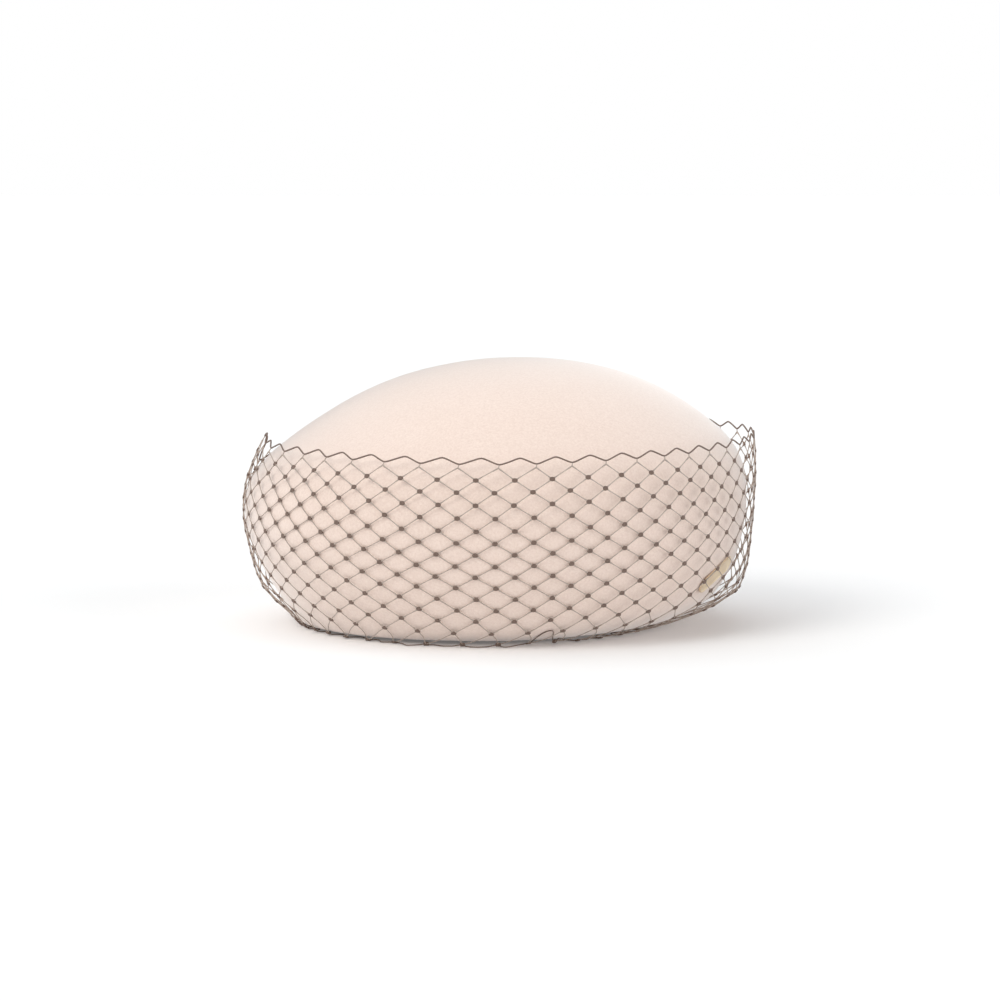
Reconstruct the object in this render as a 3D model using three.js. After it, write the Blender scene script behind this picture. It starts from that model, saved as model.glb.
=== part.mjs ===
// A rounded felt hat wrapped in a coarse diamond net veil, standing on its rim as it would on a table.
// Millimetres, +Z up, the front of the photograph's view towards -Y. The origin is on the table, under
// the middle of the hat.
//
// The crown is one moulded felt shell: a narrow head opening, a side that swells out, and a low dome that
// leans to +X. The veil is one net: it tucks flat under the felt rim, climbs the side, and stands free
// above the shoulder with a zigzag upper border. A small plain brass plate is fixed low on the right side.

import * as THREE from 'three';

// Crown
const CROWN_WIDTH = 256;
const CROWN_DEPTH = 243;
const CROWN_HEIGHT = 133.5;
const FELT_THICKNESS = 2.5;

// Veil. The flare is the largest distance that the net stands out from the felt, beyond its gap. The rise
// lifts its upper border on the right, and the settle lowers its lower border towards the table.
const VEIL_THICKNESS = 1.0;
const VEIL_GAP = 0.5;
const VEIL_FLARE = 14;
const VEIL_RISE = 3;
const VEIL_SETTLE = 1.2;
const STRAND_WIDTH = 2.2;
const BORDER_WIDTH = 1.8;
const BORDER_TOOTH = 2.4;
const MESH_COLUMNS = 17;
const MESH_ROWS = 6;

// Brass plate
const PLATE_LENGTH = 30;
const PLATE_HEIGHT = 9;
const PLATE_THICKNESS = 1.0;
const PLATE_GAP = 0.55;
const PLATE_BEARING = 65;
const PLATE_STATION_SHARE = 0.2;
const PLATE_TILT = 25;

// Steps of the faceted surfaces
const CROWN_SEGMENTS = 48;
const PLATE_SEGMENTS = 24;

const HALF_WIDTH = CROWN_WIDTH / 2;
const HALF_DEPTH = CROWN_DEPTH / 2;
const RIM_HEIGHT = VEIL_THICKNESS + VEIL_GAP;

// Sections of the crown from the head opening to the top. Height is a share of the crown's height, reach
// a share of half its width, and lean the section's shift to +X as a share of half its width.
const CROWN_SECTIONS = [
  { height: 0.000, reach: 0.665, lean: -0.105 },
  { height: 0.004, reach: 0.700, lean: -0.100 },
  { height: 0.024, reach: 0.760, lean: -0.060 },
  { height: 0.085, reach: 0.848, lean: -0.020 },
  { height: 0.180, reach: 0.918, lean: -0.012 },
  { height: 0.300, reach: 0.972, lean: -0.016 },
  { height: 0.430, reach: 0.997, lean: -0.018 },
  { height: 0.540, reach: 0.983, lean: -0.006 },
  { height: 0.620, reach: 0.943, lean: 0.015 },
  { height: 0.695, reach: 0.873, lean: 0.038 },
  { height: 0.775, reach: 0.768, lean: 0.052 },
  { height: 0.855, reach: 0.637, lean: 0.062 },
  { height: 0.925, reach: 0.475, lean: 0.070 },
  { height: 0.970, reach: 0.305, lean: 0.076 },
  { height: 0.993, reach: 0.148, lean: 0.080 },
  { height: 1.000, reach: 0.000, lean: 0.080 },
];

// The veil from its upper border, down 0, to its lower border, down 1. Station is the place beside it on
// the crown's meridian, 0 at the head opening and 1 at the top. Left, front, right and back say how far
// it stands out there, as shares of the flare, and spread how far its columns open out at the front.
const VEIL_COURSES = [
  { down: 0.000, station: 0.496, left: 0.86, front: 0.52, right: 0.90, back: 0.60, spread: 0.02 },
  { down: 0.106, station: 0.440, left: 0.38, front: 0.30, right: 0.52, back: 0.35, spread: 0.02 },
  { down: 0.227, station: 0.384, left: 0.11, front: 0.12, right: 0.32, back: 0.20, spread: 0.02 },
  { down: 0.348, station: 0.331, left: 0.03, front: 0.03, right: 0.25, back: 0.10, spread: 0.02 },
  { down: 0.470, station: 0.281, left: 0.05, front: 0.00, right: 0.28, back: 0.08, spread: 0.03 },
  { down: 0.591, station: 0.231, left: 0.13, front: 0.00, right: 0.40, back: 0.10, spread: 0.04 },
  { down: 0.712, station: 0.180, left: 0.29, front: 0.00, right: 0.58, back: 0.15, spread: 0.06 },
  { down: 0.833, station: 0.120, left: 0.34, front: 0.00, right: 0.76, back: 0.20, spread: 0.12 },
  { down: 0.894, station: 0.077, left: 0.28, front: 0.00, right: 0.82, back: 0.20, spread: 0.17 },
  { down: 0.955, station: 0.030, left: 0.16, front: 0.05, right: 0.70, back: 0.15, spread: 0.22 },
  { down: 1.000, station: 0.008, left: 0.08, front: 0.15, right: 0.58, back: 0.10, spread: 0.25 },
];

// Folds of the veil: where each one is centred, by bearing from the front towards +X in degrees and by
// place down the veil, how far it spreads both ways, and how far it pushes the net out or in, as a share
// of the flare.
const VEIL_FOLDS = [
  { bearing: -112, down: 0.00, width: 26, depth: 0.12, push: -0.66 },
  { bearing: -74, down: 0.00, width: 12, depth: 0.30, push: 0.10 },
  { bearing: -54, down: 0.04, width: 14, depth: 0.26, push: -0.16 },
  { bearing: 57, down: 0.86, width: 10, depth: 0.10, push: 0.12 },
  { bearing: -62, down: 0.90, width: 12, depth: 0.09, push: 0.08 },
];

// A smooth curve through a table's rows, for one column, read at x.
function readTable(rows, keys, column, x) {
  const last = rows.length - 1;
  let i = 0;
  while (i < last - 1 && x > keys[i + 1]) i += 1;
  const slope = (k) => {
    if (k === 0) return (rows[1][column] - rows[0][column]) / (keys[1] - keys[0]);
    if (k === last) return (rows[last][column] - rows[last - 1][column]) / (keys[last] - keys[last - 1]);
    const before = keys[k] - keys[k - 1];
    const after = keys[k + 1] - keys[k];
    const rise = (rows[k][column] - rows[k - 1][column]) / before;
    const next = (rows[k + 1][column] - rows[k][column]) / after;
    return (after * rise + before * next) / (before + after);
  };
  const span = keys[i + 1] - keys[i];
  const s = (x - keys[i]) / span;
  const a = (1 + 2 * s) * (1 - s) * (1 - s);
  const b = s * (1 - s) * (1 - s) * span;
  const c = s * s * (3 - 2 * s);
  const d = s * s * (s - 1) * span;
  return a * rows[i][column] + b * slope(i) + c * rows[i + 1][column] + d * slope(i + 1);
}

// Distance of each crown section along the meridian, as a share of its whole length.
function meridianStations() {
  const along = [0];
  for (let i = 1; i < CROWN_SECTIONS.length; i += 1) {
    const out = (CROWN_SECTIONS[i].reach - CROWN_SECTIONS[i - 1].reach) * HALF_WIDTH;
    const up = (CROWN_SECTIONS[i].height - CROWN_SECTIONS[i - 1].height) * CROWN_HEIGHT;
    along.push(along[i - 1] + Math.hypot(out, up));
  }
  return { length: along[along.length - 1], shares: along.map((d) => d / along[along.length - 1]) };
}

const MERIDIAN = meridianStations();

function meridian(station) {
  const read = (column) => readTable(CROWN_SECTIONS, MERIDIAN.shares, column, station);
  return {
    radius: read('reach') * HALF_WIDTH,
    height: RIM_HEIGHT + read('height') * CROWN_HEIGHT,
    shift: read('lean') * HALF_WIDTH,
  };
}

// Outward normal of the meridian, as radius and height.
function meridianNormal(station) {
  const step = 1e-4;
  const low = meridian(Math.max(0, station - step));
  const high = meridian(Math.min(1, station + step));
  const out = high.radius - low.radius;
  const up = high.height - low.height;
  const size = Math.hypot(out, up);
  return { radius: up / size, height: -out / size };
}

// A point beside the crown: bearing in radians from the front towards +X, and offset along the normal.
function crownPoint(bearing, station, offset) {
  const at = meridian(station);
  const normal = meridianNormal(station);
  const depthRatio = HALF_DEPTH / HALF_WIDTH;
  return new THREE.Vector3(
    at.shift + (at.radius + normal.radius * offset) * Math.sin(bearing),
    -(at.radius * depthRatio + normal.radius * offset) * Math.cos(bearing),
    at.height + normal.height * offset,
  );
}

// A closed mesh from a list of points and triangles, turned the right way out.
function solidGeometry(points, triangles) {
  let volume = 0;
  for (const [a, b, c] of triangles) {
    volume += points[a].dot(new THREE.Vector3().crossVectors(points[b], points[c]));
  }
  const faces = volume > 0 ? triangles : triangles.map(([a, b, c]) => [a, c, b]);
  const geometry = new THREE.BufferGeometry();
  geometry.setAttribute('position', new THREE.Float32BufferAttribute(points.flatMap((p) => p.toArray()), 3));
  geometry.setIndex(faces.flat());
  geometry.computeVertexNormals();
  return geometry;
}

// Crown: outer wall up to the top, inner wall, and the cut edge of the felt at the head opening.
function crownGeometry() {
  const points = [];
  const triangles = [];
  const stations = MERIDIAN.shares;
  const rings = stations.length - 1;
  const addWall = (offset) => {
    const first = points.length;
    for (let i = 0; i < rings; i += 1) {
      for (let j = 0; j < CROWN_SEGMENTS; j += 1) {
        points.push(crownPoint((j / CROWN_SEGMENTS) * 2 * Math.PI, stations[i], offset));
      }
    }
    points.push(crownPoint(0, 1, offset));
    return first;
  };
  const outer = addWall(0);
  const inner = addWall(-FELT_THICKNESS);
  const at = (first, i, j) => first + i * CROWN_SEGMENTS + (j % CROWN_SEGMENTS);
  const quad = (a, b, c, d) => triangles.push([a, b, c], [a, c, d]);
  for (let j = 0; j < CROWN_SEGMENTS; j += 1) {
    for (let i = 0; i < rings - 1; i += 1) {
      quad(at(outer, i, j), at(outer, i, j + 1), at(outer, i + 1, j + 1), at(outer, i + 1, j));
      quad(at(inner, i, j), at(inner, i + 1, j), at(inner, i + 1, j + 1), at(inner, i, j + 1));
    }
    triangles.push([at(outer, rings - 1, j), at(outer, rings - 1, j + 1), outer + rings * CROWN_SEGMENTS]);
    triangles.push([at(inner, rings - 1, j + 1), at(inner, rings - 1, j), inner + rings * CROWN_SEGMENTS]);
    quad(at(outer, 0, j), at(inner, 0, j), at(inner, 0, j + 1), at(outer, 0, j + 1));
  }
  return solidGeometry(points, triangles);
}

// How far the veil stands out from the felt at a bearing, in millimetres.
function veilStandOff(bearing, down, read) {
  const side = Math.sin(bearing);
  const front = Math.cos(bearing);
  let share = read('left') * Math.max(-side, 0) ** 2 + read('right') * Math.max(side, 0) ** 2
    + read('front') * Math.max(front, 0) ** 2 + read('back') * Math.max(-front, 0) ** 2;
  for (const fold of VEIL_FOLDS) {
    const turn = THREE.MathUtils.degToRad(fold.bearing);
    const across = Math.atan2(Math.sin(bearing - turn), Math.cos(bearing - turn));
    const a = across / THREE.MathUtils.degToRad(fold.width);
    const b = (down - fold.down) / fold.depth;
    share += fold.push * Math.exp(-a * a - b * b);
  }
  return VEIL_FLARE * Math.max(share, 0);
}

// A point of the veil: turn is 0 to 1 around from the front, down is 0 at the upper border and 1 at the
// lower one, and offset is 0 on the inner face and the veil's thickness on the outer one.
function veilPoint(turn, down, offset) {
  const keys = VEIL_COURSES.map((course) => course.down);
  const read = (column) => readTable(VEIL_COURSES, keys, column, down);
  const even = turn * 2 * Math.PI;
  const bearing = even + (read('spread') * Math.sin(2 * even)) / 2;
  const point = crownPoint(bearing, read('station'), VEIL_GAP + offset);
  const standOff = veilStandOff(bearing, down, read);
  const rise = VEIL_RISE * Math.max(Math.sin(bearing), 0) * (1 - down) ** 2;
  point.x += standOff * Math.sin(bearing);
  point.y -= standOff * Math.cos(bearing);
  point.z = Math.max(point.z + rise - VEIL_SETTLE * down ** 2, VEIL_THICKNESS - offset);
  return point;
}

// Veil: a diamond net in one piece. Each gap is framed by half the width of its strands, and a border
// with small teeth closes the net above and below.
function veilGeometry() {
  const length = MERIDIAN.length * (VEIL_COURSES[0].station - VEIL_COURSES[VEIL_COURSES.length - 1].station);
  const cellWidth = (2 * Math.PI * HALF_WIDTH) / MESH_COLUMNS;
  const border = (BORDER_WIDTH + BORDER_TOOTH) / length;
  const rowHeight = (length * (1 - 2 * border)) / MESH_ROWS;
  const points = [];
  const triangles = [];
  const found = new Map();

  // Flat places are in millimetres: x around the veil and y down from the first row of knots.
  const vertex = (x, y, layer) => {
    const turn = (((x / cellWidth / MESH_COLUMNS) % 1) + 1) % 1;
    const key = `${Math.round(turn * 1e6) % 1e6} ${Math.round(y * 1e4)} ${layer}`;
    if (!found.has(key)) {
      found.set(key, points.length);
      points.push(veilPoint(turn, border + y / length, layer * VEIL_THICKNESS));
    }
    return found.get(key);
  };
  const quad = (a, b, c, d) => triangles.push([a, b, c], [a, c, d]);

  // A strip of net between two runs of flat places, on both faces.
  const strip = (outside, inside, i, k) => {
    const [p, q, r, s] = [outside[i], outside[k], inside[k], inside[i]];
    quad(vertex(...p, 1), vertex(...q, 1), vertex(...r, 1), vertex(...s, 1));
    quad(vertex(...p, 0), vertex(...s, 0), vertex(...r, 0), vertex(...q, 0));
  };
  const edge = (p, q) => quad(vertex(...p, 1), vertex(...q, 1), vertex(...q, 0), vertex(...p, 0));

  // One gap: its corner knots clockwise from outside, the steps on each side, its middle and its inset.
  const gap = (corners, steps, middle, inset) => {
    const outside = [];
    corners.forEach((from, n) => {
      const to = corners[(n + 1) % corners.length];
      for (let i = 0; i < steps[n]; i += 1) {
        const share = i / steps[n];
        outside.push([from[0] + (to[0] - from[0]) * share, from[1] + (to[1] - from[1]) * share]);
      }
    });
    const inside = outside.map(([x, y]) => [
      middle[0] + (x - middle[0]) * inset,
      middle[1] + (y - middle[1]) * inset,
    ]);
    for (let i = 0; i < outside.length; i += 1) {
      const k = (i + 1) % outside.length;
      strip(outside, inside, i, k);
      edge(inside[i], inside[k]);
    }
  };

  const side = Math.hypot(cellWidth / 2, rowHeight);
  const fullInset = 1 - (STRAND_WIDTH / 2) / (((cellWidth / 2) * rowHeight) / side);
  const halfRadius = (cellWidth * rowHeight) / (cellWidth + 2 * side);
  const halfInset = 1 - (STRAND_WIDTH / 2) / halfRadius;
  for (let row = 0; row <= MESH_ROWS; row += 1) {
    for (let column = 0; column < MESH_COLUMNS; column += 1) {
      const x = (column + ((row + 1) % 2) / 2) * cellWidth;
      const y = row * rowHeight;
      const left = [x - cellWidth / 2, y];
      const right = [x + cellWidth / 2, y];
      const top = [x, y - rowHeight];
      const bottom = [x, y + rowHeight];
      if (row === 0) gap([left, right, bottom], [4, 2, 2], [x, y + halfRadius], halfInset);
      else if (row === MESH_ROWS) gap([right, left, top], [4, 2, 2], [x, y - halfRadius], halfInset);
      else gap([left, top, right, bottom], [2, 2, 2, 2], [x, y], fullInset);
    }
  }

  // Borders: two teeth to a column, each from a knot line out to the net's edge.
  const step = cellWidth / 4;
  for (let i = 0; i < MESH_COLUMNS * 4; i += 1) {
    const upper = (n) => [n * step, -BORDER_WIDTH - (n % 2 ? BORDER_TOOTH : 0)];
    const lower = (n) => [n * step, MESH_ROWS * rowHeight + BORDER_WIDTH + (n % 2 ? BORDER_TOOTH : 0)];
    const knots = (n, y) => [n * step, y];
    strip([upper(i), upper(i + 1)], [knots(i, 0), knots(i + 1, 0)], 0, 1);
    edge(upper(i + 1), upper(i));
    strip([lower(i + 1), lower(i)], [knots(i + 1, MESH_ROWS * rowHeight), knots(i, MESH_ROWS * rowHeight)], 0, 1);
    edge(lower(i), lower(i + 1));
  }
  return solidGeometry(points, triangles);
}

// Plate: a plain oblong with round ends, bent to the crown, just clear of the felt.
function plateGeometry() {
  const at = meridian(PLATE_STATION_SHARE);
  const tilt = THREE.MathUtils.degToRad(PLATE_TILT);
  const points = [];
  const triangles = [];
  const place = (x, y, offset) => crownPoint(
    THREE.MathUtils.degToRad(PLATE_BEARING) + (x * Math.cos(tilt) - y * Math.sin(tilt)) / at.radius,
    PLATE_STATION_SHARE + (x * Math.sin(tilt) + y * Math.cos(tilt)) / MERIDIAN.length,
    PLATE_GAP + offset,
  );
  const end = PLATE_HEIGHT / 2;
  const straight = PLATE_LENGTH / 2 - end;
  const outline = [];
  for (let i = 0; i < PLATE_SEGMENTS; i += 1) {
    const turn = ((i + 0.5) / PLATE_SEGMENTS) * 2 * Math.PI;
    outline.push([Math.sign(Math.cos(turn)) * straight + end * Math.cos(turn), end * Math.sin(turn)]);
  }
  const rings = [[0.0, 1], [0.5, 1], [1.0, 1], [1.0, 0], [0.5, 0], [0.0, 0]];
  rings.slice(1, -1).forEach(([share, layer]) => outline.forEach(([x, y]) => {
    points.push(place(x * share, y * share, layer * PLATE_THICKNESS));
  }));
  const topMiddle = points.push(place(0, 0, PLATE_THICKNESS)) - 1;
  const baseMiddle = points.push(place(0, 0, 0)) - 1;
  for (let i = 0; i < PLATE_SEGMENTS; i += 1) {
    const k = (i + 1) % PLATE_SEGMENTS;
    for (let ring = 0; ring < 3; ring += 1) {
      const a = ring * PLATE_SEGMENTS;
      const b = a + PLATE_SEGMENTS;
      triangles.push([a + i, b + i, b + k], [a + i, b + k, a + k]);
    }
    triangles.push([topMiddle, i, k]);
    triangles.push([baseMiddle, 3 * PLATE_SEGMENTS + k, 3 * PLATE_SEGMENTS + i]);
  }
  return solidGeometry(points, triangles);
}

function piece(name, geometry, colour, roughness, metalness) {
  const mesh = new THREE.Mesh(geometry, new THREE.MeshStandardMaterial({ color: colour, roughness, metalness }));
  mesh.name = name;
  return mesh;
}

const hat = new THREE.Group();
hat.add(piece('crown', crownGeometry(), '#f0e4d8', 0.95, 0));
hat.add(piece('veil', veilGeometry(), '#241f1e', 0.6, 0));
hat.add(piece('brass_plate', plateGeometry(), '#d3bb86', 0.35, 1));

// The hat stands with the middle of its own box over the origin.
const box = new THREE.Box3().setFromObject(hat);
for (const mesh of hat.children) {
  mesh.geometry.translate(-(box.min.x + box.max.x) / 2, -(box.min.y + box.max.y) / 2, -box.min.z);
}

export default hat;
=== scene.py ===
"""A moulded felt hat in a knotted diamond veil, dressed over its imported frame."""

import math

import bmesh
import bpy
from mathutils import Matrix, Vector, noise


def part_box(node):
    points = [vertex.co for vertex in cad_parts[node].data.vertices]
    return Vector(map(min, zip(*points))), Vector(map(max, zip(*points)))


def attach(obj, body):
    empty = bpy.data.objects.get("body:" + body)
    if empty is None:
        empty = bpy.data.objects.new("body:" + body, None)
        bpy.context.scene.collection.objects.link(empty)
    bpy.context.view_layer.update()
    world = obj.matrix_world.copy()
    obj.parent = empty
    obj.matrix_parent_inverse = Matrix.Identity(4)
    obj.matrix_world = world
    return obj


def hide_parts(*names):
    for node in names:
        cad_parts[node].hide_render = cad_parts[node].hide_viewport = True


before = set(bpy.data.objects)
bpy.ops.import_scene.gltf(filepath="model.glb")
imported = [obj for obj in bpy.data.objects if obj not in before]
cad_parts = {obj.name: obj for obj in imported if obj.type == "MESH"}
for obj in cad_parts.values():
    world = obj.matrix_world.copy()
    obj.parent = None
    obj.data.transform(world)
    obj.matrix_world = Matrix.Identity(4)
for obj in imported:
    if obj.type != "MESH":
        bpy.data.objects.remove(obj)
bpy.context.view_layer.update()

MM = 0.001

# Crown
CROWN_WIDTH = 256 * MM
CROWN_DEPTH = 243 * MM
CROWN_HEIGHT = 133.5 * MM
FELT_THICKNESS = 2.5 * MM
DEPTH_RATIO = CROWN_DEPTH / CROWN_WIDTH
SPIN_STEPS = 192
OUTER_STEPS = 110
INNER_STEPS = 44
EDGE_STEPS = 6
WELD_DISTANCE = 0.01 * MM
DENT_DEPTH = 0.35 * MM
DENT_SIZE = 46 * MM

# Veil, as the frame's own strip of net: its gap to the felt, the largest distance that it stands out
# beyond that, how far its upper border rises on the right and its lower border settles.
VEIL_GAP = 0.5 * MM
VEIL_FLARE = 14 * MM
VEIL_RISE = 3 * MM
VEIL_SETTLE = 1.2 * MM

# Net. Its rows of knots are half a diamond apart, and places down it are given in these rows. Its
# strands lie just clear of the felt.
NET_COLUMNS = 44
NET_ROWS = 15
HALF_ROWS = 16.5
ROWS_ABOVE = 0.75
FIRST_COLUMN = 0.27
TWIST = 0.23
TWIST_ROWS = (0.5, 5)
STRAND_RADIUS = 0.24 * MM
STRAND_CLEARANCE = 0.20 * MM
STRAND_BOW = 0.15 * MM
STRAND_SIDES = 6
TAIL_STEPS = 5
KNOT_WIDTH = 2.9 * MM
KNOT_HEIGHT = 2.3 * MM
KNOT_CORD = 0.50 * MM
KNOT_SIDES = 8
KNOT_STEP = 0.1

# Thickness of a strand from each knot to the next: the place between them, and the share of its radius.
STRAND_SHARES = [
    (0.00, 1.5),
    (0.12, 1.7),
    (0.22, 1.4),
    (0.34, 1.0),
    (0.66, 1.0),
    (0.78, 1.4),
    (0.88, 1.7),
]
TIE_SHARE = 1.2

# A knot's outline from its underside to its middle: reach as a share of half its width, and height as a
# share of its cord's radius.
KNOT_PROFILE = [(0.90, -0.60), (1.00, 0.10), (0.92, 0.70), (0.68, 1.00), (0.30, 0.75)]

# Borders, by the rows that their zigzag runs between. The point of a tooth is 0 when it is round and 1
# when it is sharp.
BORDER_RADIUS = 0.40 * MM
LOWER_BORDER_RADIUS = 0.28 * MM
BORDER_SIDES = 8
UPPER_PEAK = -0.81
UPPER_VALLEY = -0.29
LOWER_VALLEY = 15.0
LOWER_TIP = 15.7
TOOTH_POINT = 0.93
TOOTH_STEPS = 16

# Lower edge of the net: the rows over which it comes in against the felt, reaches the felt's edge, slips
# in under it, lets its loose teeth go and settles on the table. It hangs straight down at the front, over
# so many degrees to each side.
TUCK_ROWS = (12.0, 14.6)
FELT_EDGE_ROWS = (13.9, 15.0)
UNDER_ROWS = (14.9, 15.4)
TOOTH_ROWS = (14.4, 15.3)
LAID_ROWS = (12.5, 15.0)
UNDER_REACH = 2 * MM
AGAINST_CLEARANCE = 0.2 * MM
STRAIGHT_FRONT = 22
LAID_HEIGHT = 0.5 * MM
LAID_DROP = 1.0 * MM
TABLE_CLEARANCE = 0.02 * MM

# Left corner of the upper edge, and the dip behind it: bearings in degrees from the front towards -X, and
# how many rows down each one reaches. The dip lowers the edge by its own number of rows.
UPPER_EDGE_ROW = -0.6
EDGE_SLOPE_STEP = 0.03
CORNER_BEARING = 90
CORNER_SPREAD = 8
CORNER_REACH = 2.2
CORNER_OUT = 3.6 * MM
CORNER_UP = 3 * MM
DIP_START = (90, 98)
DIP_AGAINST = (95, 104)
DIP_END = (110, 150)
DIP_REACH = 3.2
DIP_ROWS = 2.0

# Brass plate
PLATE_LENGTH = 30 * MM
PLATE_HEIGHT = 9 * MM
PLATE_THICKNESS = 1.0 * MM
PLATE_GAP = 0.55 * MM
PLATE_BEARING = 65
PLATE_STATION_SHARE = 0.2
PLATE_TILT = 25
PLATE_RIM = 0.7 * MM
PLATE_STEP = 0.2 * MM
PLATE_ROUNDING = 0.18 * MM
PLATE_SIDES = 56
PLATE_SHARP_ANGLE = 0.9

# Loops across the plate's sunk field, so that it bends with the crown
PLATE_LOOPS = (1.1 * MM, 1.1 * MM, 1.0 * MM)

# Photograph's view: the lens looks at a point over the middle of the hat.
VIEW_ELEVATION = 6.5
VIEW_DISTANCE = 2.0
VIEW_LENS_MM = 141.2
VIEW_TARGET = Vector((0.36 * MM, -0.62 * MM, 62.16 * MM))

# Studio: how much of the white surroundings' light reaches the hat, and half the floor's side
AMBIENT = 0.25
FLOOR_REACH = 6

# Sections of the crown from the head opening to the top: height as a share of the crown's height, reach
# as a share of half its width, and lean, the section's shift to +X, as a share of half its width.
CROWN_SECTIONS = [
    dict(height=0.000, reach=0.665, lean=-0.105),
    dict(height=0.004, reach=0.700, lean=-0.100),
    dict(height=0.024, reach=0.760, lean=-0.060),
    dict(height=0.085, reach=0.848, lean=-0.020),
    dict(height=0.180, reach=0.918, lean=-0.012),
    dict(height=0.300, reach=0.972, lean=-0.016),
    dict(height=0.430, reach=0.997, lean=-0.018),
    dict(height=0.540, reach=0.983, lean=-0.006),
    dict(height=0.620, reach=0.943, lean=0.015),
    dict(height=0.695, reach=0.873, lean=0.038),
    dict(height=0.775, reach=0.768, lean=0.052),
    dict(height=0.855, reach=0.637, lean=0.062),
    dict(height=0.925, reach=0.475, lean=0.070),
    dict(height=0.970, reach=0.305, lean=0.076),
    dict(height=0.993, reach=0.148, lean=0.080),
    dict(height=1.000, reach=0.000, lean=0.080),
]

# Courses of the veil from its upper border, down 0, to its lower border, down 1: the place beside it on
# the crown's meridian, how far it stands out on each side as a share of the flare, and how far its
# columns open out at the front.
VEIL_COURSES = [
    dict(down=0.000, station=0.496, left=0.86, front=0.52, right=0.90, back=0.60, spread=0.02),
    dict(down=0.106, station=0.440, left=0.38, front=0.30, right=0.52, back=0.35, spread=0.02),
    dict(down=0.227, station=0.384, left=0.11, front=0.12, right=0.32, back=0.20, spread=0.02),
    dict(down=0.348, station=0.331, left=0.03, front=0.03, right=0.25, back=0.10, spread=0.02),
    dict(down=0.470, station=0.281, left=0.05, front=0.00, right=0.28, back=0.08, spread=0.03),
    dict(down=0.591, station=0.231, left=0.13, front=0.00, right=0.40, back=0.10, spread=0.04),
    dict(down=0.712, station=0.180, left=0.29, front=0.00, right=0.58, back=0.15, spread=0.06),
    dict(down=0.833, station=0.120, left=0.34, front=0.00, right=0.76, back=0.20, spread=0.12),
    dict(down=0.894, station=0.077, left=0.28, front=0.00, right=0.82, back=0.20, spread=0.17),
    dict(down=0.955, station=0.030, left=0.16, front=0.05, right=0.70, back=0.15, spread=0.22),
    dict(down=1.000, station=0.008, left=0.08, front=0.15, right=0.58, back=0.10, spread=0.25),
]

# Folds of the veil: the centre by bearing from the front towards +X in degrees and by place down the
# veil, how far it spreads both ways, and how far it pushes the net, as a share of the flare.
VEIL_FOLDS = [
    dict(bearing=-112, down=0.00, width=26, depth=0.12, push=-0.66),
    dict(bearing=-74, down=0.00, width=12, depth=0.30, push=0.10),
    dict(bearing=-54, down=0.04, width=14, depth=0.26, push=-0.16),
    dict(bearing=57, down=0.86, width=10, depth=0.10, push=0.12),
    dict(bearing=-62, down=0.90, width=12, depth=0.09, push=0.08),
]

# How the rows of knots drift over the felt, by row: how far down the veil, in rows, at the front and more
# on each side, and how far around it, in columns, on each side.
NET_DRIFT = [
    dict(row=0, rows=0.14, rows_left=0.02, rows_right=-0.05, columns_left=-0.75, columns_right=-0.65),
    dict(row=2, rows=0.08, rows_left=-0.35, rows_right=-0.22, columns_left=0.06, columns_right=-0.68),
    dict(row=4, rows=0.03, rows_left=-0.55, rows_right=-0.40, columns_left=0.10, columns_right=-0.55),
    dict(row=6, rows=-0.02, rows_left=-0.78, rows_right=-0.52, columns_left=0.00, columns_right=-0.22),
    dict(row=8, rows=-0.08, rows_left=-0.80, rows_right=-0.62, columns_left=-0.32, columns_right=0.06),
    dict(row=10, rows=-0.18, rows_left=-0.68, rows_right=-0.50, columns_left=-0.52, columns_right=0.25),
    dict(row=12, rows=-0.12, rows_left=-0.85, rows_right=-0.70, columns_left=-0.50, columns_right=-0.05),
    dict(row=14, rows=-0.30, rows_left=-0.70, rows_right=-0.45, columns_left=-0.50, columns_right=0.00),
    dict(row=16, rows=-0.30, rows_left=-0.40, rows_right=-0.30, columns_left=-0.45, columns_right=0.00),
]

# Teeth of the lower border that don't lie flat under the felt: bearing and width in degrees, how far
# they slip out over the table, and how far they stand up, in millimetres.
LOOSE_TEETH = [
    dict(bearing=-28, width=4, out=8, up=0),
    dict(bearing=-19, width=4, out=10, up=0),
    dict(bearing=-9, width=4, out=5, up=0),
    dict(bearing=0.5, width=4, out=7, up=0),
    dict(bearing=9.5, width=4, out=9, up=0),
    dict(bearing=21.7, width=5.5, out=21, up=9),
    dict(bearing=38, width=4, out=6, up=0),
]


# Shapes shared with the frame


def read_table(rows, keys, column, x):
    """A smooth curve through one column of a table, read at x."""
    last = len(rows) - 1
    i = 0
    while i < last - 1 and x > keys[i + 1]:
        i += 1

    def slope(k):
        if k == 0:
            return (rows[1][column] - rows[0][column]) / (keys[1] - keys[0])
        if k == last:
            return (rows[last][column] - rows[last - 1][column]) / (keys[last] - keys[last - 1])
        before = keys[k] - keys[k - 1]
        after = keys[k + 1] - keys[k]
        rise = (rows[k][column] - rows[k - 1][column]) / before
        following = (rows[k + 1][column] - rows[k][column]) / after
        return (after * rise + before * following) / (before + after)

    span = keys[i + 1] - keys[i]
    s = (x - keys[i]) / span
    return (
        (1 + 2 * s) * (1 - s) ** 2 * rows[i][column]
        + s * (1 - s) ** 2 * span * slope(i)
        + s * s * (3 - 2 * s) * rows[i + 1][column]
        + s * s * (s - 1) * span * slope(i + 1)
    )


def meridian_stations():
    """Each section's place along the meridian as a share of its length, and that length."""
    along = [0.0]
    for low, high in zip(CROWN_SECTIONS, CROWN_SECTIONS[1:]):
        out = (high["reach"] - low["reach"]) * CROWN_WIDTH / 2
        up = (high["height"] - low["height"]) * CROWN_HEIGHT
        along.append(along[-1] + math.hypot(out, up))
    return [place / along[-1] for place in along], along[-1]


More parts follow.
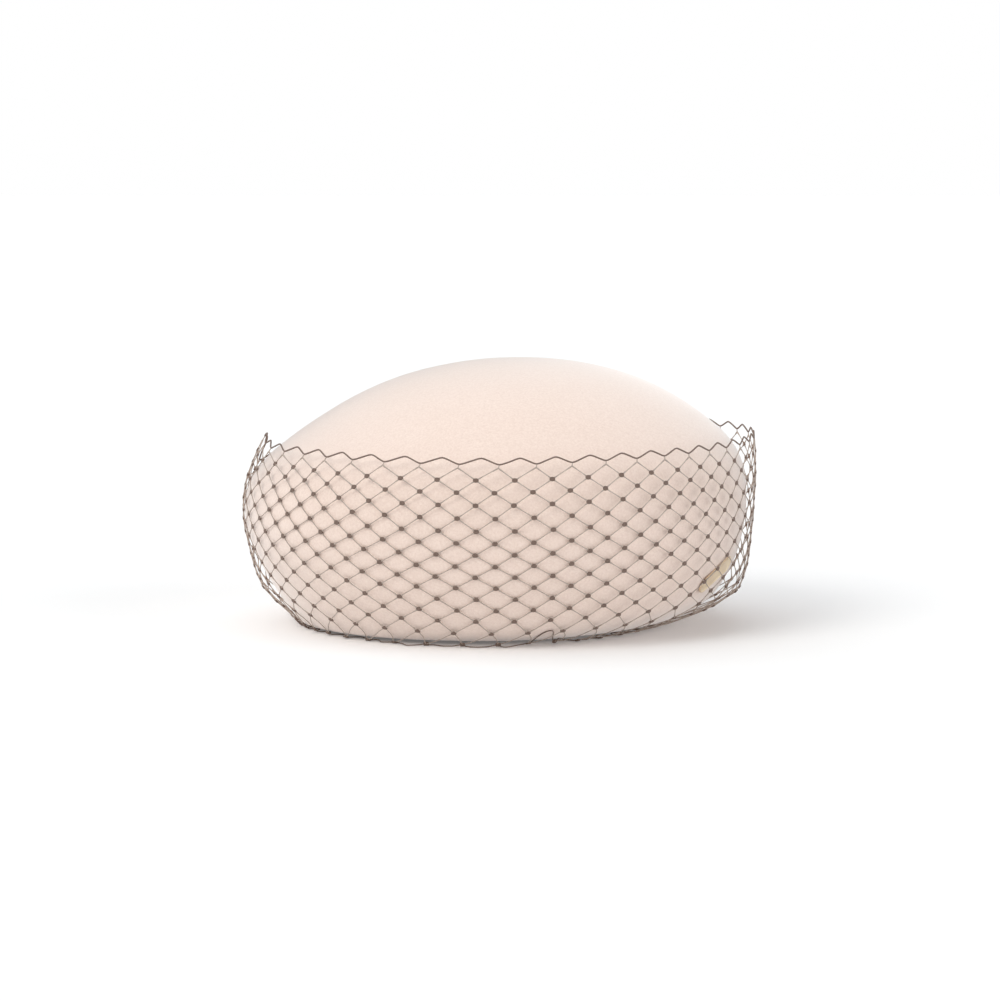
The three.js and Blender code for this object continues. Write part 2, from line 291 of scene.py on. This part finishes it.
STATIONS, MERIDIAN_LENGTH = meridian_stations()
DOWNS = [course["down"] for course in VEIL_COURSES]
DRIFT_ROWS = [drift["row"] for drift in NET_DRIFT]
crown_low, crown_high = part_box("crown")


def meridian(station):
    """Radius, height and lean of the crown at a station from 0, the head opening, to 1, the top."""
    radius = read_table(CROWN_SECTIONS, STATIONS, "reach", station) * CROWN_WIDTH / 2
    height = crown_low[2] + read_table(CROWN_SECTIONS, STATIONS, "height", station) * CROWN_HEIGHT
    lean = read_table(CROWN_SECTIONS, STATIONS, "lean", station) * CROWN_WIDTH / 2
    return radius, height, lean


def meridian_normal(station):
    """The meridian's outward direction at a station, as radius and height."""
    step = 1e-4
    low = meridian(max(0, station - step))
    high = meridian(min(1, station + step))
    out = high[0] - low[0]
    up = high[1] - low[1]
    size = math.hypot(out, up)
    return up / size, -out / size


# The crown's own box places its meridian in the frame.
WEST = min(meridian(station)[2] - meridian(station)[0] for station in STATIONS)
MIDDLE = Vector((crown_low[0] - WEST, (crown_low[1] + crown_high[1]) / 2, 0))


def crown_point(bearing, station, offset):
    """A point beside the crown: bearing in radians from the front, offset along the normal."""
    radius, height, lean = meridian(station)
    out, up = meridian_normal(station)
    return MIDDLE + Vector(
        (
            lean + (radius + out * offset) * math.sin(bearing),
            -(radius * DEPTH_RATIO + out * offset) * math.cos(bearing),
            height + up * offset,
        )
    )


def stand_off(bearing, down):
    """How far the veil stands out from the felt."""
    side = math.sin(bearing)
    front = math.cos(bearing)
    share = (
        read_table(VEIL_COURSES, DOWNS, "left", down) * max(-side, 0) ** 2
        + read_table(VEIL_COURSES, DOWNS, "right", down) * max(side, 0) ** 2
        + read_table(VEIL_COURSES, DOWNS, "front", down) * max(front, 0) ** 2
        + read_table(VEIL_COURSES, DOWNS, "back", down) * max(-front, 0) ** 2
    )
    for fold in VEIL_FOLDS:
        turn = bearing - math.radians(fold["bearing"])
        across = math.atan2(math.sin(turn), math.cos(turn)) / math.radians(fold["width"])
        along = (down - fold["down"]) / fold["depth"]
        share += fold["push"] * math.exp(-across * across - along * along)
    return VEIL_FLARE * max(share, 0)


def smooth_share(low, high, x):
    """0 below low, 1 above high, and a smooth rise between them."""
    s = min(max((x - low) / (high - low), 0), 1)
    return s * s * (3 - 2 * s)


def push_out(point, bearing, distance):
    """Moves a point level, away from the middle of the hat."""
    point.x += distance * math.sin(bearing)
    point.y -= distance * math.cos(bearing)


def veil_point(turn, down, offset):
    """A point of the veil: turn from 0 to 1 around, down from 0 to 1, offset out from its inner face."""
    even = turn * 2 * math.pi
    spread = read_table(VEIL_COURSES, DOWNS, "spread", down)
    bearing = even + spread * math.sin(2 * even) / 2
    point = crown_point(bearing, read_table(VEIL_COURSES, DOWNS, "station", down), VEIL_GAP + offset)
    push_out(point, bearing, stand_off(bearing, down))
    point.z += VEIL_RISE * max(math.sin(bearing), 0) * (1 - down) ** 2 - VEIL_SETTLE * down**2
    return point, bearing


# Course of the net


def drifted(column, row):
    """Column and row of the even net as the felt and the hang of the veil move them."""
    even = 2 * math.pi * (column + FIRST_COLUMN) / NET_COLUMNS
    left = max(-math.sin(even), 0)
    right = max(math.sin(even), 0)
    at = min(max(row, 0), DRIFT_ROWS[-1])
    around = read_table(NET_DRIFT, DRIFT_ROWS, "columns_left", at) * left
    around += read_table(NET_DRIFT, DRIFT_ROWS, "columns_right", at) * right**3
    down = read_table(NET_DRIFT, DRIFT_ROWS, "rows", at)
    down += read_table(NET_DRIFT, DRIFT_ROWS, "rows_left", at) * left**2
    down += read_table(NET_DRIFT, DRIFT_ROWS, "rows_right", at) * right
    return column + TWIST * smooth_share(*TWIST_ROWS, row) + around, row + down


def near_upper_edge(row, reach):
    """1 at the upper edge, fading over so many rows below it."""
    return math.exp(-((max(row - UPPER_EDGE_ROW, 0) / reach) ** 2))


def net_point(column, row):
    """The middle of a strand, by column around the veil and by row of knots down it."""
    column, row = drifted(column, row)
    turn = (column + FIRST_COLUMN) / NET_COLUMNS

    # Behind its left corner the edge dips, and the rows below it crowd together.
    behind = -360 * turn % 360
    dip = near_upper_edge(row, DIP_REACH)
    row += DIP_ROWS * dip * smooth_share(*DIP_START, behind) * (1 - smooth_share(*DIP_END, behind))

    # Above the veil's first course the net runs straight on.
    down = (row + ROWS_ABOVE) / HALF_ROWS
    beside = STRAND_RADIUS + STRAND_CLEARANCE
    point, bearing = veil_point(turn, max(down, 0), beside - VEIL_GAP)
    if down < 0:
        below = veil_point(turn, EDGE_SLOPE_STEP, beside - VEIL_GAP)[0]
        point += (below - point) * (down / EDGE_SLOPE_STEP)
    degrees = math.degrees(math.atan2(math.sin(bearing), math.cos(bearing)))

    # Beside the front the last rows follow the felt down to its edge, and the border tucks in under it.
    beside_front = 1 - math.exp(-((degrees / STRAIGHT_FRONT) ** 2))
    tuck = smooth_share(*TUCK_ROWS, row) * beside_front
    if tuck > 0:
        station = read_table(VEIL_COURSES, DOWNS, "station", min(down, 1))
        station *= 1 - smooth_share(*FELT_EDGE_ROWS, row)
        point += (crown_point(bearing, station, beside + AGAINST_CLEARANCE) - point) * tuck
        push_out(point, bearing, -UNDER_REACH * smooth_share(*UNDER_ROWS, row) * beside_front)

    # The left corner stands up and out, and behind it the net lies against the crown.
    corner = math.exp(-(((degrees + CORNER_BEARING) / CORNER_SPREAD) ** 2))
    corner *= near_upper_edge(row, CORNER_REACH)
    push_out(point, bearing, CORNER_OUT * corner)
    point.z += CORNER_UP * corner
    against = dip * smooth_share(*DIP_AGAINST, -degrees) * (1 - smooth_share(*DIP_END, -degrees))
    if against > 0:
        station = read_table(VEIL_COURSES, DOWNS, "station", max(down, 0))
        point += (crown_point(bearing, station, beside + AGAINST_CLEARANCE) - point) * against

    # The lower border lies on the table, its loose teeth slipped out or standing against the felt.
    rise = 0.0
    for tooth in LOOSE_TEETH:
        across = (degrees - tooth["bearing"]) / tooth["width"]
        share = smooth_share(*TOOTH_ROWS, row) * math.exp(-(across**2))
        push_out(point, bearing, share * tooth["out"] * MM)
        rise += share * tooth["up"] * MM
    laid = smooth_share(*LAID_ROWS, row)
    point.z += (max(LAID_HEIGHT, point.z - LAID_DROP) - point.z) * laid
    point.z = max(point.z, LAID_HEIGHT) + rise
    return point


# Meshes


def finish_mesh(name, bm, material, node):
    """Makes a finished piece of a bmesh, in place of a node of the frame."""
    mesh = bpy.data.meshes.new(name)
    bm.to_mesh(mesh)
    bm.free()
    for face in mesh.polygons:
        face.use_smooth = True
    piece = bpy.data.objects.new(name, mesh)
    bpy.context.scene.collection.objects.link(piece)
    mesh.materials.append(material)
    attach(piece, "root")
    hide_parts(node)
    return piece


def add_tubes(bm, paths, radius, sides, closed):
    """Adds round strands along paths of (point, thickness share) to a bmesh."""
    curve = bpy.data.curves.new("strands", "CURVE")
    curve.dimensions = "3D"
    curve.bevel_depth = radius
    curve.bevel_resolution = (sides - 4) // 2
    curve.use_fill_caps = not closed
    for path in paths:
        spline = curve.splines.new("POLY")
        spline.points.add(len(path) - 1)
        spline.use_cyclic_u = closed
        for knot, (point, share) in zip(spline.points, path):
            knot.co = (*point, 1)
            knot.radius = share
    holder = bpy.data.objects.new("strands", curve)
    mesh = bpy.data.meshes.new_from_object(holder)
    bm.from_mesh(mesh)
    bpy.data.objects.remove(holder)
    bpy.data.curves.remove(curve)
    bpy.data.meshes.remove(mesh)


def rest_on_table(bm):
    """Presses what would pass through the table flat against it."""
    for vert in bm.verts:
        vert.co.z = max(vert.co.z, TABLE_CLEARANCE)


def crown_profile():
    """The felt's cut outline: outer face from the top down, the rounded edge, inner face back up."""
    outline = []

    def add(station, offset):
        radius, height, lean = meridian(station)
        out, up = meridian_normal(station)
        outline.append((radius + out * offset, height + up * offset, lean, radius * (1 - DEPTH_RATIO)))

    for i in range(OUTER_STEPS + 1):
        add(1 - i / OUTER_STEPS, 0)
    half = FELT_THICKNESS / 2
    out, up = meridian_normal(0)
    radius, height, lean = meridian(0)
    for i in range(1, EDGE_STEPS):
        turn = math.pi * i / EDGE_STEPS
        deep = -half + half * math.cos(turn)
        past = half * math.sin(turn)
        outline.append(
            (
                radius + out * deep + up * past,
                height + up * deep - out * past,
                lean,
                radius * (1 - DEPTH_RATIO),
            )
        )
    for i in range(INNER_STEPS + 1):
        add(i / INNER_STEPS, -FELT_THICKNESS)
    return outline


def make_crown(material):
    """Spins the outline, then leans and narrows each ring, and dents the felt a little."""
    bm = bmesh.new()
    leans = bm.verts.layers.float.new("lean")
    narrows = bm.verts.layers.float.new("narrow")
    chain = []
    for reach, height, lean, narrow in crown_profile():
        vert = bm.verts.new((max(reach, 0), 0, height))
        vert[leans] = lean
        vert[narrows] = narrow
        chain.append(vert)
    edges = [bm.edges.new(pair) for pair in zip(chain, chain[1:])]
    bmesh.ops.spin(
        bm,
        geom=chain + edges,
        cent=(0, 0, 0),
        axis=(0, 0, 1),
        angle=2 * math.pi,
        steps=SPIN_STEPS,
        use_merge=True,
    )
    bmesh.ops.remove_doubles(bm, verts=bm.verts, dist=WELD_DISTANCE)
    for vert in bm.verts:
        reach = math.hypot(vert.co.x, vert.co.y)
        if reach > WELD_DISTANCE:
            vert.co.y *= 1 - vert[narrows] / reach
        vert.co.x += vert[leans]
        vert.co += MIDDLE
    bmesh.ops.recalc_face_normals(bm, faces=bm.faces)
    bm.normal_update()
    for vert in bm.verts:
        dent = noise.noise(vert.co / DENT_SIZE) * 0.5 + 0.5
        vert.co -= vert.normal * DENT_DEPTH * dent
    finish_mesh("felt_crown", bm, material, "crown")


def knot_frame(column, row):
    """A knot's middle, and its directions around the veil, down it and out of it."""
    here = net_point(column, row)
    across = (net_point(column + KNOT_STEP, row) - here).normalized()
    outward = across.cross(here - net_point(column, row + KNOT_STEP)).normalized()
    return here, across, outward.cross(across), outward


def strand_path(knots):
    """One straight-sided diagonal strand from knot to knot, thicker where it is knotted."""
    path = []
    for low, high in zip(knots, knots[1:]):
        for along, share in STRAND_SHARES:
            bow = STRAND_BOW * 4 * along * (1 - along)
            path.append((low[0].lerp(high[0], along) + (low[3] + high[3]) / 2 * bow, share))
    path.append((knots[-1][0], STRAND_SHARES[0][1]))
    return path


def knot_shape():
    """One small knot at the origin, flat and squarish, and a little sunk in its middle."""
    bm = bmesh.new()
    bmesh.ops.create_circle(bm, cap_ends=True, segments=KNOT_SIDES, radius=1)
    for vert in bm.verts:
        square = (vert.co.x**4 + vert.co.y**4) ** -0.25
        vert.co.x *= square * KNOT_WIDTH / 2
        vert.co.y *= square * KNOT_HEIGHT / 2
    reach, height = KNOT_PROFILE[0]
    bmesh.ops.scale(bm, verts=bm.verts, vec=(reach, reach, 1))
    bmesh.ops.translate(bm, verts=bm.verts, vec=(0, 0, height * KNOT_CORD))
    top = bm.faces[:]
    for (reach, height), (next_reach, next_height) in zip(KNOT_PROFILE, KNOT_PROFILE[1:]):
        top = bmesh.ops.extrude_face_region(bm, geom=top)["geom"]
        verts = [item for item in top if isinstance(item, bmesh.types.BMVert)]
        narrowing = next_reach / reach
        bmesh.ops.scale(bm, verts=verts, vec=(narrowing, narrowing, 1))
        bmesh.ops.translate(bm, verts=verts, vec=(0, 0, (next_height - height) * KNOT_CORD))
    for face in bm.faces:
        face.material_index = 1
    shape = bpy.data.meshes.new("knot")
    bm.to_mesh(shape)
    bm.free()
    return shape


def add_knots(bm, knots):
    """Adds a knot at each frame of a middle and its directions across, down and out."""
    shape = knot_shape()
    for here, across, downward, outward in knots:
        place = Matrix((across, downward, outward)).transposed().to_4x4()
        place.translation = here
        knot = shape.copy()
        knot.transform(place)
        bm.from_mesh(knot)
        bpy.data.meshes.remove(knot)
    bpy.data.meshes.remove(shape)


def make_net(thread, knot_thread):
    """Diagonal strands from knot to knot, their tails under the felt, and a short tie to each valley."""
    bm = bmesh.new()
    knots = [
        [knot_frame(column + (0.5 if row % 2 == 0 else 0), row) for column in range(NET_COLUMNS)]
        for row in range(NET_ROWS + 1)
    ]

    def knot_at(half_columns, row):
        return knots[row][half_columns // 2 % NET_COLUMNS]

    paths = []
    for column in range(NET_COLUMNS):
        for lean in (1, -1):
            path = strand_path([knot_at(2 * column + 1 + lean * row, row) for row in range(NET_ROWS)])
            for step in range(1, TAIL_STEPS + 1):
                row = NET_ROWS - 1 + step / TAIL_STEPS
                path.append((net_point(column + 0.5 + lean * row / 2, row), 1.0))
            paths.append(path)
    for column in range(NET_COLUMNS):
        valley = net_point(column + 0.5, UPPER_VALLEY)
        paths.append([(knot_at(2 * column + 1, 0)[0], TIE_SHARE), (valley, 1.0)])
    add_tubes(bm, paths, STRAND_RADIUS, STRAND_SIDES, False)
    add_knots(bm, [knot for row in knots[1:] for knot in row])
    rest_on_table(bm)
    bmesh.ops.recalc_face_normals(bm, faces=bm.faces)
    net = finish_mesh("veil_net", bm, thread, "veil")
    net.data.materials.append(knot_thread)


def make_border(name, whole_row, half_row, radius, material):
    """A closed zigzag cord that is in one row at each whole column and in another between them."""
    path = []
    for i in range(NET_COLUMNS * TOOTH_STEPS):
        wave = math.cos(2 * math.pi * i / TOOTH_STEPS)
        tooth = math.asin(TOOTH_POINT * wave) / math.asin(TOOTH_POINT)
        row = (whole_row + half_row) / 2 + (whole_row - half_row) / 2 * tooth
        path.append((net_point(i / TOOTH_STEPS, row), 1.0))
    bm = bmesh.new()
    add_tubes(bm, [path], radius, BORDER_SIDES, True)
    rest_on_table(bm)
    finish_mesh(name, bm, material, "veil")


def plate_point(x, y, offset):
    """A point of the plate bent to the crown: x along it, y up it and offset out from its back."""
    tilt = math.radians(PLATE_TILT)
    around = x * math.cos(tilt) - y * math.sin(tilt)
    along = x * math.sin(tilt) + y * math.cos(tilt)
    bearing = math.radians(PLATE_BEARING) + around / meridian(PLATE_STATION_SHARE)[0]
    return crown_point(bearing, PLATE_STATION_SHARE + along / MERIDIAN_LENGTH, PLATE_GAP + offset)


def make_plate(material):
    """A flat oblong with round ends, a sunk field and rounded edges, then bent to the crown."""
    bm = bmesh.new()
    end = PLATE_HEIGHT / 2
    bmesh.ops.create_circle(bm, cap_ends=True, segments=PLATE_SIDES, radius=end)
    for vert in bm.verts:
        vert.co.x += math.copysign(PLATE_LENGTH / 2 - end, vert.co.x)
    made = bmesh.ops.extrude_face_region(bm, geom=bm.faces[:])
    top = [item for item in made["geom"] if isinstance(item, bmesh.types.BMFace)]
    verts = [item for item in made["geom"] if isinstance(item, bmesh.types.BMVert)]
    bmesh.ops.translate(bm, verts=verts, vec=(0, 0, PLATE_THICKNESS))
    bmesh.ops.inset_region(bm, faces=top, thickness=PLATE_RIM, depth=0)
    bmesh.ops.inset_region(bm, faces=top, thickness=PLATE_STEP, depth=-PLATE_STEP)
    for inset in PLATE_LOOPS:
        bmesh.ops.inset_region(bm, faces=top, thickness=inset, depth=0)
    rim = [edge for edge in bm.edges if edge.is_manifold and edge.calc_face_angle(0) > PLATE_SHARP_ANGLE]
    bmesh.ops.bevel(
        bm,
        geom=rim,
        offset=PLATE_ROUNDING,
        affect="EDGES",
        segments=3,
        profile=0.5,
        material=-1,
    )
    bmesh.ops.triangulate(bm, faces=[face for face in bm.faces if len(face.verts) > 4])
    for vert in bm.verts:
        vert.co = plate_point(vert.co.x, vert.co.y, vert.co.z)
    bmesh.ops.recalc_face_normals(bm, faces=bm.faces)
    finish_mesh("brass_tag", bm, material, "brass_plate")


# Materials


def linear(hex_colour):
    """An sRGB hex colour as linear RGBA."""
    channels = [int(hex_colour[i : i + 2], 16) / 255 for i in (1, 3, 5)]
    return [c / 12.92 if c <= 0.04045 else ((c + 0.055) / 1.055) ** 2.4 for c in channels] + [1]


def add_node(material, kind, settings=(), inputs=(), links=()):
    """Adds a node with its settings, its input values, and links to its inputs from other nodes."""
    node = material.node_tree.nodes.new(kind)
    for name, value in dict(settings).items():
        setattr(node, name, value)
    for name, value in dict(inputs).items():
        node.inputs[name].default_value = value
    for name, (source, output) in dict(links).items():
        material.node_tree.links.new(source.outputs[output], node.inputs[name])
    return node


def new_material(name):
    material = bpy.data.materials.new(name)
    material.use_nodes = True
    material.node_tree.nodes.clear()
    return material


def close_material(material, shader):
    add_node(material, "ShaderNodeOutputMaterial", links={"Surface": (shader, "BSDF")})
    return material


def wool_felt():
    """Moulded wool felt: steamed and blocked, with a short matted nap that gives a matt, powdery face."""
    material = new_material("moulded wool felt")
    place = add_node(material, "ShaderNodeTexCoord")
    # Clouds of thicker and thinner wool, about 25 mm across
    clouds = add_node(
        material,
        "ShaderNodeTexNoise",
        inputs={"Scale": 1 / (25 * MM), "Detail": 3, "Roughness": 0.5},
        links={"Vector": (place, "Object")},
    )
    # Matted fibres, really 0.1 mm apart and drawn 1.1 mm apart so that they show
    fibres = add_node(
        material,
        "ShaderNodeTexNoise",
        inputs={"Scale": 1 / (1.1 * MM), "Detail": 4, "Roughness": 0.62, "Distortion": 0.6},
        links={"Vector": (place, "Object")},
    )
    cloud_colour = add_node(
        material,
        "ShaderNodeMix",
        settings={"data_type": "RGBA"},
        links={"Factor": (clouds, "Fac")},
    )
    cloud_colour.inputs["A"].default_value = linear("#EEDACE")
    cloud_colour.inputs["B"].default_value = linear("#F2DFD4")
    nap_share = add_node(
        material,
        "ShaderNodeMapRange",
        inputs={"From Min": 0.35, "From Max": 0.65, "To Min": 0.0, "To Max": 0.7},
        links={"Value": (fibres, "Fac")},
    )
    colour = add_node(
        material,
        "ShaderNodeMix",
        settings={"data_type": "RGBA"},
        links={"Factor": (nap_share, "Result"), "A": (cloud_colour, "Result")},
    )
    colour.inputs["B"].default_value = linear("#E0C9BC")
    bump = add_node(
        material,
        "ShaderNodeBump",
        inputs={"Strength": 0.35, "Distance": 0.25 * MM},
        links={"Height": (fibres, "Fac")},
    )
    shader = add_node(
        material,
        "ShaderNodeBsdfPrincipled",
        inputs={
            "Roughness": 0.95,
            "Specular IOR Level": 0.2,
            "Sheen Weight": 1.0,
            "Sheen Roughness": 0.5,
            "Sheen Tint": linear("#FFFFFF"),
        },
        links={"Base Color": (colour, "Result"), "Normal": (bump, "Normal")},
    )
    return close_material(material, shader)


def veiling_thread(name, deep_colour, worn_colour):
    """Knotted veiling: spun thread dyed a greyed brown, dull, and paler where its plies stand out."""
    material = new_material(name)
    place = add_node(material, "ShaderNodeTexCoord")
    # Twist of the plies, about 0.5 mm to a turn
    plies = add_node(
        material,
        "ShaderNodeTexNoise",
        inputs={"Scale": 1 / (0.5 * MM), "Detail": 2, "Roughness": 0.6},
        links={"Vector": (place, "Object")},
    )
    colour = add_node(
        material,
        "ShaderNodeMix",
        settings={"data_type": "RGBA"},
        links={"Factor": (plies, "Fac")},
    )
    colour.inputs["A"].default_value = linear(deep_colour)
    colour.inputs["B"].default_value = linear(worn_colour)
    bump = add_node(
        material,
        "ShaderNodeBump",
        inputs={"Strength": 0.5, "Distance": 0.1 * MM},
        links={"Height": (plies, "Fac")},
    )
    shader = add_node(
        material,
        "ShaderNodeBsdfPrincipled",
        inputs={"Roughness": 0.7, "Sheen Weight": 0.1, "Sheen Roughness": 0.4},
        links={"Base Color": (colour, "Result"), "Normal": (bump, "Normal")},
    )
    return close_material(material, shader)


def satin_brass():
    """Stamped brass: pale, brushed along its length, and lightly worn."""
    material = new_material("satin brass")
    place = add_node(material, "ShaderNodeTexCoord")
    # Brushing lines about 0.25 mm apart and 12 mm long
    lines = add_node(
        material,
        "ShaderNodeMapping",
        inputs={"Scale": (1 / (12 * MM), 1 / (12 * MM), 1 / (0.25 * MM))},
        links={"Vector": (place, "Object")},
    )
    brushing = add_node(
        material,
        "ShaderNodeTexNoise",
        inputs={"Scale": 1, "Detail": 2},
        links={"Vector": (lines, "Vector")},
    )
    roughness = add_node(
        material,
        "ShaderNodeMapRange",
        inputs={"To Min": 0.28, "To Max": 0.46},
        links={"Value": (brushing, "Fac")},
    )
    colour = add_node(
        material,
        "ShaderNodeMix",
        settings={"data_type": "RGBA"},
        links={"Factor": (brushing, "Fac")},
    )
    colour.inputs["A"].default_value = linear("#E8D2B0")
    colour.inputs["B"].default_value = linear("#F6E6CC")
    bump = add_node(
        material,
        "ShaderNodeBump",
        inputs={"Strength": 0.15, "Distance": 0.05 * MM},
        links={"Height": (brushing, "Fac")},
    )
    shader = add_node(
        material,
        "ShaderNodeBsdfPrincipled",
        inputs={"Metallic": 1.0},
        links={
            "Base Color": (colour, "Result"),
            "Roughness": (roughness, "Result"),
            "Normal": (bump, "Normal"),
        },
    )
    return close_material(material, shader)


def white_paper():
    """A white, matt table lit a little from below."""
    material = new_material("studio paper")
    shader = add_node(
        material,
        "ShaderNodeBsdfPrincipled",
        inputs={
            "Base Color": linear("#F2F3F4"),
            "Roughness": 0.9,
            "Specular IOR Level": 0.1,
            "Emission Color": (1, 1, 1, 1),
            "Emission Strength": 0.10,
        },
    )
    return close_material(material, shader)


# Studio


def make_floor():
    bm = bmesh.new()
    bmesh.ops.create_grid(bm, x_segments=1, y_segments=1, size=FLOOR_REACH)
    mesh = bpy.data.meshes.new("studio_floor")
    bm.to_mesh(mesh)
    bm.free()
    floor = bpy.data.objects.new("studio_floor", mesh)
    bpy.context.scene.collection.objects.link(floor)
    mesh.materials.append(white_paper())


def add_sun(name, towards, angle, strength, colour):
    """A very wide, soft lamp: towards is the way from the hat to the lamp."""
    lamp = bpy.data.lights.new(name, "SUN")
    lamp.color = colour
    lamp.angle = math.radians(angle)
    lamp.energy = strength * math.pi
    holder = bpy.data.objects.new(name, lamp)
    holder.rotation_euler = Vector(towards).to_track_quat("Z", "Y").to_euler()
    bpy.context.scene.collection.objects.link(holder)


def make_studio():
    """White paper under even light, with soft lamps over the left front, overhead and low on the right."""
    make_floor()
    world = bpy.data.worlds.new("studio")
    world.use_nodes = True
    nodes = world.node_tree.nodes
    links = world.node_tree.links
    seen = nodes.new("ShaderNodeLightPath")
    strength = nodes.new("ShaderNodeMapRange")
    strength.inputs["To Min"].default_value = AMBIENT
    strength.inputs["To Max"].default_value = 1.0
    links.new(seen.outputs["Is Camera Ray"], strength.inputs["Value"])
    links.new(strength.outputs["Result"], nodes["Background"].inputs["Strength"])
    nodes["Background"].inputs["Color"].default_value = (1, 1, 1, 1)
    bpy.context.scene.world = world
    bpy.context.scene.view_settings.view_transform = "Standard"
    add_sun("key", (-0.60, -0.55, 0.58), 34, 0.42, (1.01, 0.99, 0.95))
    add_sun("overhead", (-0.38, 0.25, 0.90), 90, 0.54, (0.99, 1, 1.01))
    add_sun("fill", (0.90, -0.40, 0.15), 60, 0.50, (1, 1, 1))


def make_camera():
    data = bpy.data.cameras.new("camera")
    data.lens = VIEW_LENS_MM
    data.sensor_width = 36
    data.clip_end = 50
    camera = bpy.data.objects.new("camera", data)
    tilt = math.radians(VIEW_ELEVATION)
    back = Vector((0, -math.cos(tilt), math.sin(tilt)))
    camera.location = VIEW_TARGET + back * VIEW_DISTANCE
    camera.rotation_euler = (math.pi / 2 - tilt, 0, 0)
    bpy.context.scene.collection.objects.link(camera)
    bpy.context.scene.camera = camera


make_camera()
make_studio()
felt = wool_felt()
thread = veiling_thread("dyed veiling thread", "#9A8C82", "#C0B1A6")
knot_thread = veiling_thread("dyed veiling cord", "#604E45", "#826E63")
make_crown(felt)
make_net(thread, knot_thread)
make_border("veil_upper_border", UPPER_PEAK, UPPER_VALLEY, BORDER_RADIUS, knot_thread)
make_border("veil_lower_border", LOWER_VALLEY, LOWER_TIP, LOWER_BORDER_RADIUS, knot_thread)
make_plate(satin_brass())
